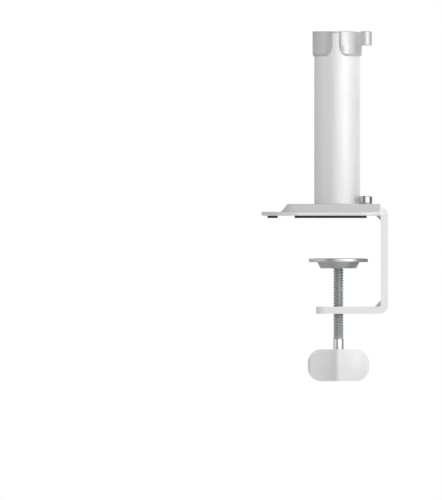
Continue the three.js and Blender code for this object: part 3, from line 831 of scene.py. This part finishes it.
# head diameter and height, thread diameter and the key's width across the flats
screwShapes = {
    "bracket": {"head": 10, "height": 6, "thread": 6, "hexagon": 5},
    "arm": {"head": 5.5, "height": 3, "thread": 3, "hexagon": 2.5},
    "handle": {"head": 8.5, "height": 5, "thread": 5, "hexagon": 4},
}
headDetail = {
    "tip": 0.3, "neckEdge": 0.15, "edgeShare": 0.055, "socketShare": 0.45,
    "bevelDepth": 0.35, "bevelIn": 0.3, "bevelOut": 0.5, "bevelOver": 0.4,
}


# A cap screw with the underside of its head at the origin; upright is 1 with the head up.
def makeCapScrew(name, shape, length, upright=1):
    top, head, thread = shape["height"], shape["head"] / 2, shape["thread"] / 2
    key, tip = shape["hexagon"] / math.sqrt(3), headDetail["tip"]
    section = roundedSection([
        (0, -length, 0), (thread - tip, -length, 0), (thread, tip - length, 0), (thread, 0, 0),
        (head, 0, headDetail["neckEdge"]), (head, top, shape["head"] * headDetail["edgeShare"]),
        (0, top, 0),
    ], steps=5, closed=False)
    screw = turned(name, section, steps=72)
    socket = rod("socket", key, top * headDetail["socketShare"], top + overrun, steps=6)
    low, high = top - headDetail["bevelDepth"], top + headDetail["bevelOver"]
    bevel = turned("bevel", [
        (0, low), (key - headDetail["bevelIn"], low), (key + headDetail["bevelOut"], high), (0, high),
    ], steps=48)
    cleanCut(cutWith(screw, socket, bevel))
    if upright < 0:
        screw.data.transform(Matrix.Rotation(math.pi, 4, "X"))
    return smoothShade(screw, 30)


# A geometry tree whose shape is made real and takes the finish that the modifier names.
# It comes with its inputs and the socket that takes the shape.
def newGeometryTree(name, inputs):
    tree = bpy.data.node_groups.new(name, "GeometryNodeTree")
    for label, kind in [("Geometry", "Geometry"), *inputs, ("Finish", "Material")]:
        tree.interface.new_socket(label, in_out="INPUT", socket_type="NodeSocket" + kind)
    tree.interface.new_socket("Geometry", in_out="OUTPUT", socket_type="NodeSocketGeometry")
    given = tree.nodes.new("NodeGroupInput").outputs
    real = tree.nodes.new("GeometryNodeRealizeInstances")
    finish = tree.nodes.new("GeometryNodeSetMaterial")
    tree.links.new(real.outputs[0], finish.inputs["Geometry"])
    tree.links.new(given["Finish"], finish.inputs["Material"])
    tree.links.new(finish.outputs[0], tree.nodes.new("NodeGroupOutput").inputs[0])
    return tree, given, real.inputs[0]


# Copies a screw to every vertex of the modified mesh.
def buildSetOutTree():
    tree, given, shape = newGeometryTree("setOutScrews", [("Screw", "Object")])
    screw = tree.nodes.new("GeometryNodeObjectInfo")
    points = tree.nodes.new("GeometryNodeMeshToPoints")
    copies = tree.nodes.new("GeometryNodeInstanceOnPoints")
    tree.links.new(given["Screw"], screw.inputs["Object"])
    tree.links.new(given["Geometry"], points.inputs["Mesh"])
    tree.links.new(points.outputs[0], copies.inputs["Points"])
    tree.links.new(screw.outputs["Geometry"], copies.inputs["Instance"])
    tree.links.new(copies.outputs[0], shape)
    return tree


setOutScrews = buildSetOutTree()


def runNodes(piece, tree, values):
    modifier = piece.modifiers.new(tree.name, "NODES")
    modifier.node_group = tree
    for item in tree.interface.items_tree:
        if item.in_out == "INPUT" and item.name in values:
            modifier[item.identifier] = values[item.name]
    applyModifiers(piece)
    return piece


def setOut(name, screw, places, material):
    spots = makePiece(name, places, [])
    runNodes(spots, setOutScrews, {"Screw": screw, "Finish": material})
    bpy.data.objects.remove(screw)
    return smoothShade(spots, 30)


def buildBracketScrews(shape):
    low, high = boxOf(bracketScrewNodes[0])
    seat = high.z - shape["height"]
    screw = makeCapScrew("capScrew", shape, seat - low.z)
    places = [(*axisOf(node), seat) for node in bracketScrewNodes]
    screws = setOut("bracketScrews", screw, places, chromePlate)
    return dress(screws, "base", bracketScrewNodes, chromePlate)


# A single screw with its head down.
def buildHangingScrew(name, shape, body, node, material):
    low, high = boxOf(node)
    seat = low.z + shape["height"]
    screw = makeCapScrew(name + "Blank", shape, high.z - seat, -1)
    placed = setOut(name, screw, [(*axisOf(node), seat)], material)
    return dress(placed, body, [node], material)


# clamp screw

spindleShape = {
    "pitch": 2.0, "depth": 0.85, "threadBottom": -92.4, "neckRadius": 2.6, "neckHeight": 2.9,
    "crown": 0.9, "rowHeight": 0.125, "columns": 40,
}

threadSteel = threadedMetal("threadSteel", spindleShape["threadBottom"])


# A rod standing on the origin whose wall is drawn in to a helical thread above a smooth shank,
# with a narrow crowned neck at its top. All lengths are in metres.
def buildThreadTree():
    lengths = ("Radius", "Length", "Pitch", "Depth", "Shank", "Neck Start", "Neck Radius", "Crown")
    tree, value, shape = newGeometryTree("threadedRod", [
        *((label, "Float") for label in lengths), ("Columns", "Int"), ("Rows", "Int"), ("Place", "Vector")])

    def calculate(operation, *numbers):
        return mathNode(tree, operation, *numbers)

    def fromZeroToOne(number):
        return calculate("MINIMUM", calculate("MAXIMUM", number, 0.0), 1.0)

    blank = tree.nodes.new("GeometryNodeMeshCylinder")
    blank.fill_type = "NGON"
    for label, source in (
            ("Vertices", "Columns"), ("Side Segments", "Rows"), ("Radius", "Radius"), ("Depth", "Length")):
        tree.links.new(value[source], blank.inputs[label])
    place = tree.nodes.new("ShaderNodeSeparateXYZ")
    tree.links.new(tree.nodes.new("GeometryNodeInputPosition").outputs[0], place.inputs[0])
    x, y = place.outputs[0], place.outputs[1]
    height = calculate("ADD", place.outputs[2], calculate("MULTIPLY", value["Length"], 0.5))
    # the groove: 0 on the crest and 1 at the root, once round for each pitch
    turns = calculate("DIVIDE", calculate("ARCTAN2", y, x), 2 * math.pi)
    phase = calculate(
        "FRACT", calculate("SUBTRACT", calculate("DIVIDE", height, value["Pitch"]), turns))
    ridge = calculate("ABSOLUTE", calculate("MULTIPLY_ADD", phase, 2.0, -1.0))
    crestEdge, flankSlope = 0.88, 1.3
    groove = fromZeroToOne(calculate("MULTIPLY", calculate("SUBTRACT", crestEdge, ridge), flankSlope))
    aboveShank = calculate("DIVIDE", calculate("SUBTRACT", height, value["Shank"]), value["Pitch"])
    depth = calculate("MULTIPLY", calculate("MULTIPLY", groove, fromZeroToOne(aboveShank)), value["Depth"])
    threaded = calculate("SUBTRACT", value["Radius"], depth)
    isNeck = calculate("GREATER_THAN", height, value["Neck Start"])
    neckDrop = calculate("MULTIPLY", isNeck, calculate("SUBTRACT", threaded, value["Neck Radius"]))
    crownStart = calculate("SUBTRACT", value["Length"], value["Crown"])
    crownDrop = calculate("MAXIMUM", calculate("SUBTRACT", height, crownStart), 0.0)
    radius = calculate("SUBTRACT", threaded, calculate("ADD", neckDrop, crownDrop))
    share = calculate("DIVIDE", radius, value["Radius"])
    moved = tree.nodes.new("ShaderNodeCombineXYZ")
    for socket, source in zip(moved.inputs, (
            calculate("MULTIPLY", x, share), calculate("MULTIPLY", y, share), height)):
        tree.links.new(source, socket)
    standing = tree.nodes.new("ShaderNodeVectorMath")
    tree.links.new(moved.outputs[0], standing.inputs[0])
    tree.links.new(value["Place"], standing.inputs[1])
    setPlace = tree.nodes.new("GeometryNodeSetPosition")
    tree.links.new(blank.outputs["Mesh"], setPlace.inputs["Geometry"])
    tree.links.new(standing.outputs[0], setPlace.inputs["Position"])
    tree.links.new(setPlace.outputs[0], shape)
    return tree


def buildSpindle(shape):
    low, high = boxOf("spindle")
    length = high.z - low.z
    spindle = makePiece("threadedSpindle", [], [])
    runNodes(spindle, buildThreadTree(), {
        "Radius": (high.x - low.x) / 2 * millimetre,
        "Length": length * millimetre,
        "Pitch": shape["pitch"] * millimetre,
        "Depth": shape["depth"] * millimetre,
        "Shank": (shape["threadBottom"] - low.z) * millimetre,
        "Neck Start": (length - shape["neckHeight"]) * millimetre,
        "Neck Radius": shape["neckRadius"] * millimetre,
        "Crown": shape["crown"] * millimetre,
        "Columns": shape["columns"],
        "Rows": round(length / shape["rowHeight"]),
        "Place": (screwAxis[0] * millimetre, screwAxis[1] * millimetre, low.z * millimetre),
        "Finish": threadSteel,
    })
    return smoothShade(dress(spindle, "clamp_screw", ["spindle"], threadSteel), 50)


handleShape = {
    "tip": 3.2, "ridge": 3.5, "flank": 28, "corner": 10, "bore": 4.15, "boreDepth": 14,
    "headHole": 4.55, "screwSeat": 6, "screwHole": 2.65, "edge": 0.8,
}


# Plan of the handle: round tips, a round ridge front and back and hollow flanks between them.
def handleOutline(shape, halfWidth, halfDepth, steps=12):
    tip = Vector((halfWidth - shape["tip"], 0))
    ridge = Vector((0, halfDepth - shape["ridge"]))
    toTip, toRidge = shape["flank"] + shape["tip"], shape["flank"] + shape["ridge"]
    across = ridge - tip
    along = (toTip ** 2 - toRidge ** 2 + across.length_squared) / (2 * across.length)
    away = math.sqrt(toTip ** 2 - along ** 2)
    direction = across.normalized()
    flank = tip + direction * along + Vector((direction.y, -direction.x)) * away

    def angleFrom(first, second):
        return math.atan2(second.y - first.y, second.x - first.x)

    quarter = arcPoints(tip, shape["tip"], 0, angleFrom(tip, flank), steps)
    quarter += arcPoints(flank, shape["flank"], angleFrom(flank, tip) + 2 * math.pi,
                         angleFrom(flank, ridge) + 2 * math.pi, 2 * steps)[1:]
    quarter += arcPoints(ridge, shape["ridge"], angleFrom(ridge, flank), math.pi / 2, steps)[1:]
    back = quarter[::-1]
    loop = quarter + [(-x, y) for x, y in back[1:]]
    loop += [(-x, -y) for x, y in quarter[1:]] + [(x, -y) for x, y in back[1:-1]]
    return loop


def buildHandle(shape):
    low, high = boxOf("handle")
    halfWidth, halfDepth = (high.x - low.x) / 2, (high.y - low.y) / 2
    outline = [(x + screwAxis[0], y) for x, y in handleOutline(shape, halfWidth, halfDepth)]
    handle = prism("wingHandle", outline, low.z, high.z)
    # takes the four corners off, as seen from the side
    frameCorners = roundedRectangle((low.x, low.z), (high.x, high.z), shape["corner"], 16)
    kept = sidePrism("kept", frameCorners, low.y - overrun, high.y + overrun)
    combine(handle, kept, "INTERSECT")
    softenEdges(handle, shape["edge"], 4, 38)
    under, over = low.z - overrun, high.z + overrun
    cutWith(handle,
            rod("bore", shape["bore"], high.z - shape["boreDepth"], over, screwAxis, steps=48),
            rod("headHole", shape["headHole"], under, low.z + shape["screwSeat"], screwAxis, steps=48),
            rod("screwHole", shape["screwHole"], low.z, high.z, screwAxis, steps=32))
    cleanCut(handle)
    return smoothShade(dress(handle, "clamp_screw", ["handle"], handlePaint), 40)


# foot

footShape = {
    "padRecess": 19.15, "padDepth": 1.1, "cupTop": 16.15, "cupBottom": 13.75, "socket": 9.8,
    "mouth": 4.6, "floor": 1.2, "grooves": (6, 10.5, 15), "grooveTop": 0.5, "grooveFloor": 0.2,
    "grooveDepth": 0.4, "plateEdge": 0.5, "plateRim": 0.45, "recessEdge": 0.1, "padEdge": 0.3,
    "cupEdge": 0.7, "cupRim": 0.15, "mouthEdge": 0.3,
}


def buildFootPlate(shape):
    low, high = boxOf("foot_plate")
    radius = (high.x - low.x) / 2
    recess, floor = shape["padRecess"], high.z - shape["padDepth"]
    section = roundedSection([
        (0, low.z, 0), (radius, low.z, shape["plateEdge"]), (radius, high.z, shape["plateRim"]),
        (recess, high.z, shape["recessEdge"]), (recess, floor, 0), (0, floor, 0),
    ], steps=5, closed=False)
    plate = turned("footPlate", section, screwAxis, steps=144)
    return smoothShade(dress(plate, "foot", ["foot_plate"], brightSteel))


def buildFootPad(shape):
    low, high = boxOf("foot_pad")
    radius = (high.x - low.x) / 2
    corners = [(0, low.z, 0), (radius, low.z, 0), (radius, high.z, shape["padEdge"])]
    top, floor, deep = shape["grooveTop"], shape["grooveFloor"], high.z - shape["grooveDepth"]
    for groove in reversed(shape["grooves"]):
        corners += [(groove + top, high.z, 0), (groove + floor, deep, 0),
                    (groove - floor, deep, 0), (groove - top, high.z, 0)]
    section = roundedSection(corners + [(0, high.z, 0)], closed=False)
    pad = turned("footPad", section, screwAxis, steps=120)
    return smoothShade(dress(pad, "foot", ["foot_pad"], blackRubber))


def buildFootCup(shape):
    low, high = boxOf("foot_cup")
    mouth, socket, floor = shape["mouth"], shape["socket"], low.z + shape["floor"]
    section = roundedSection([
        (mouth, low.z, shape["mouthEdge"]), (shape["cupBottom"], low.z, shape["cupEdge"]),
        (shape["cupTop"], high.z, shape["cupRim"]), (socket, high.z, 0), (socket, floor, 0),
        (mouth, floor, 0)])
    cup = turned("footCup", section, screwAxis, steps=144)
    return smoothShade(dress(cup, "foot", ["foot_cup"], zincSteel))


buildBaseShell(baseShape)
buildMainPad(padShape)
buildNosePad(padShape)
print("base made")
buildBracket(bracketShape)
print("bracket made")
buildPost(postShape)
buildHub(hubShape)
buildHubCap(capShape)
print("post and hub made")
buildBracketScrews(screwShapes["bracket"])
buildHangingScrew(
    "armFixingScrew", screwShapes["arm"], "hub", "arm_fixing_screw", brightSteel)
buildHangingScrew(
    "handleScrew", screwShapes["handle"], "clamp_screw", "handle_screw", zincSteel)
print("screws made")
buildSpindle(spindleShape)
buildHandle(handleShape)
buildFootPlate(footShape)
buildFootPad(footShape)
buildFootCup(footShape)
print("clamp screw and foot made")

# pieces hidden inside keep their plain shapes and take the finishes
innerFinishes = {
    "post_foot_plug": zincSteel, "post_bolt": zincSteel, "post_top_plug": zincSteel,
    "hub_liner": paleNylon, "hub_bolt": zincSteel, "hub_bolt_washer": brightSteel,
    "thrust_washer": brightSteel, "socket_liner": paleNylon, "retaining_clip": zincSteel,
}
for node, finish in innerFinishes.items():
    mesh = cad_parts[node].data
    mesh.materials.clear()
    mesh.materials.append(finish)
print("inner pieces finished")


# floor, light and camera

studio = {
    "floorHeight": -0.156, "floorHalf": 1.5, "roof": 0.15, "ground": 0.9,
    "wallsEnd": 0.25, "roofStarts": 0.9,
}
softboxes = {
    "softboxRight": {"place": (0.75, -0.9, 0.35), "size": (0.5, 0.9), "watts": 2.5},
    "softboxBehind": {"place": (0.8, 0.6, 0.6), "size": (0.5, 0.5), "watts": 4.5},
}
lit = (0, 0, 0.03)       # the point that the softboxes face
view = {"place": (-0.08835, -1.2, -0.0243), "scale": 0.380, "clipEnd": 10}


def buildFloor(values):
    half, height = values["floorHalf"], values["floorHeight"]
    mesh = bpy.data.meshes.new("floor")
    corners = [(-half, -half, height), (half, -half, height), (half, half, height), (-half, half, height)]
    mesh.from_pydata(corners, [], [[0, 1, 2, 3]])
    floor = bpy.data.objects.new("floor", mesh)
    scene.collection.objects.link(floor)
    mesh.materials.append(startMaterial("paleFloor", (0.86, 0.86, 0.86), 0.0, 0.8)[0])


# A studio of soft walls: its brightness changes with the direction round the object.
def buildWorld(values, walls):
    world = bpy.data.worlds.new("softStudio")
    scene.world = world
    world.use_nodes = True
    tree = world.node_tree
    background = tree.nodes["Background"]
    parts = tree.nodes.new("ShaderNodeSeparateXYZ")
    tree.links.new(tree.nodes.new("ShaderNodeTexCoord").outputs["Generated"], parts.inputs[0])
    backwards = mathNode(tree, "MULTIPLY", parts.outputs[1], -1.0)
    around = mathNode(tree, "ARCTAN2", parts.outputs[0], backwards)
    share = mathNode(tree, "MULTIPLY_ADD", around, 1 / (2 * math.pi), 0.5)
    ramp = tree.nodes.new("ShaderNodeValToRGB")
    tree.links.new(share, ramp.inputs[0])
    stops = ramp.color_ramp.elements
    while len(stops) > 1:
        stops.remove(stops[-1])
    stops[0].position = 0.0
    stops[0].color = (walls[0][1],) * 3 + (1,)
    for degrees, brightness in walls[1:]:
        stop = stops.new((degrees + 180) / 360)
        stop.color = (brightness,) * 3 + (1,)
    low, high = values["wallsEnd"], values["roofStarts"]
    upward = rangeNode(tree, parts.outputs[2], low, high, 0.0, 1.0)
    downward = rangeNode(tree, parts.outputs[2], -high, -low, 1.0, 0.0)
    noRoof = mathNode(tree, "SUBTRACT", 1.0, mathNode(tree, "ADD", upward, downward))
    level = mathNode(tree, "MULTIPLY", ramp.outputs[0], noRoof)
    level = mathNode(tree, "MULTIPLY_ADD", upward, values["roof"], level)
    level = mathNode(tree, "MULTIPLY_ADD", downward, values["ground"], level)
    # plain white where the camera looks past everything
    seen = tree.nodes.new("ShaderNodeLightPath").outputs["Is Camera Ray"]
    level = mathNode(tree, "MULTIPLY", level, mathNode(tree, "SUBTRACT", 1.0, seen))
    level = mathNode(tree, "ADD", level, seen)
    tree.links.new(level, background.inputs["Strength"])
    background.inputs["Color"].default_value = (1, 1, 1, 1)


def buildLamp(name, values):
    data = bpy.data.lights.new(name, "AREA")
    data.shape = "RECTANGLE"
    data.size, data.size_y = values["size"]
    data.energy = values["watts"]
    lamp = bpy.data.objects.new(name, data)
    place = Vector(values["place"])
    lamp.location = place
    lamp.rotation_euler = (Vector(lit) - place).to_track_quat("-Z", "Y").to_euler()
    scene.collection.objects.link(lamp)


def buildCamera(values):
    data = bpy.data.cameras.new("camera")
    data.type = "ORTHO"
    data.ortho_scale = values["scale"]
    data.clip_end = values["clipEnd"]
    camera = bpy.data.objects.new("camera", data)
    camera.location = values["place"]
    camera.rotation_euler = (math.pi / 2, 0, 0)
    scene.collection.objects.link(camera)
    scene.camera = camera


# degrees from the viewer towards the right, and the wall's brightness there
studioWalls = [
    (-180, 0.85), (-150, 0.55), (-110, 0.8), (-60, 1.15), (-44, 0.35), (-20, 0.15), (-8, 1.4),
    (15, 1.75), (40, 1.8), (66, 1.5), (84, 0.8), (95, 0.12), (132, 0.12), (150, 1.0),
]

buildFloor(studio)
buildWorld(studio, studioWalls)
for name, values in softboxes.items():
    buildLamp(name, values)
buildCamera(view)
scene.view_settings.view_transform = "Standard"
print("studio made")
